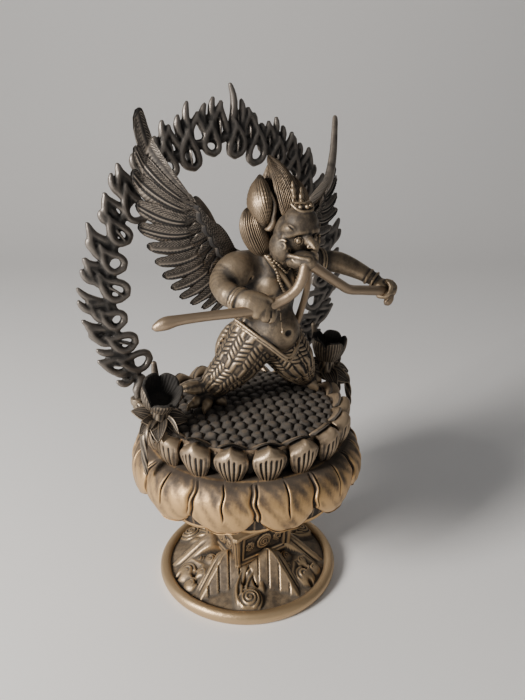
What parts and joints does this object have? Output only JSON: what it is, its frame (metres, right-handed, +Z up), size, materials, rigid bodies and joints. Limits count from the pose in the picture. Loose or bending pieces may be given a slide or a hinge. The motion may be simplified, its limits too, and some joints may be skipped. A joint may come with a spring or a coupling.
{
  "type": "garuda figure",
  "caption": "Cast bronze garuda with spread wings holding a snake, on a lotus throne with a block and round rock foot, flame ring behind and lotus flowers beside it",
  "frame": {"origin": "middle of the round foot's underside, on the surface it stands on", "axes": "+Z up; the figure faces -Y; its right wing is at -X and its left wing at +X"},
  "size_m": [0.2078, 0.159, 0.3374],
  "materials": {
    "foot_bronze": "dark grey-brown patina, worn lighter on the raised relief",
    "throne_bronze": "golden tan where handled, dark in the grooves",
    "figure_bronze": "mid brown patina with golden worn highlights",
    "wing_bronze": "dark brown patina, raised lines rubbed lighter",
    "ring_bronze": "near-black patina with faintly lighter edges",
    "flower_bronze": "dark brown patina, edges rubbed"
  },
  "bodies": {
    "root": {"foot_and_block": "foot_bronze", "lotus_throne": "throne_bronze", "garuda_with_snake": "figure_bronze", "right_wing": "wing_bronze", "left_wing": "wing_bronze", "flame_ring": "ring_bronze", "right_lotus_flower": "flower_bronze", "left_lotus_flower": "flower_bronze"}
  },
  "joints": []
}
